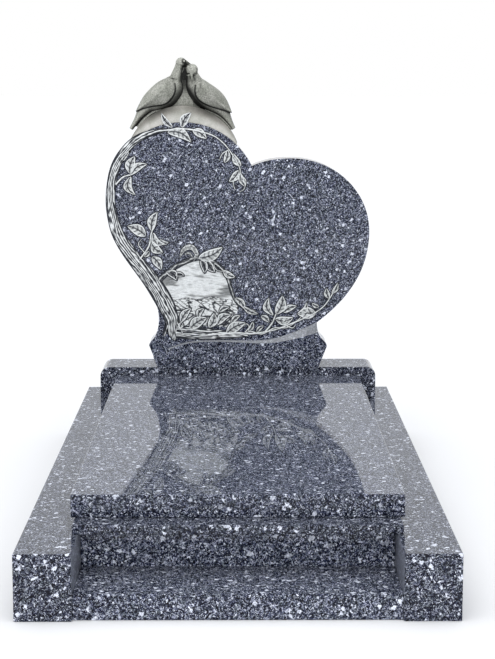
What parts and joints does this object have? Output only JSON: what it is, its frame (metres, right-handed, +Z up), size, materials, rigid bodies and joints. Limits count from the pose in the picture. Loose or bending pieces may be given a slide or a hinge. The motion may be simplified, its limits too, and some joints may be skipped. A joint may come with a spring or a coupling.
{
  "type": "grave monument",
  "caption": "Granite grave monument: kerbed surround with a stepped front, polished ledger and a heart-shaped headstone carved with a tree and vine, topped by two doves.",
  "frame": {"origin": "on the ground at the middle of the surround", "axes": "+Z up, -Y towards the viewer in front of the low step, +X to the viewer's right"},
  "size_m": [1, 2, 1.2472],
  "materials": {
    "granite": "polished blue-grey larvikite granite with silvery crystals, matt light grey where carved",
    "cast_stone": "matt cast stone, grey-beige with darker creases"
  },
  "bodies": {
    "root": {"kerb_left": "granite", "kerb_right": "granite", "kerb_front": "granite", "kerb_back": "granite", "front_step": "granite", "ledger_plate": "granite", "ledger_slab": "granite", "headstone_base": "granite", "headstone": "granite", "doves": "cast_stone"}
  },
  "joints": []
}
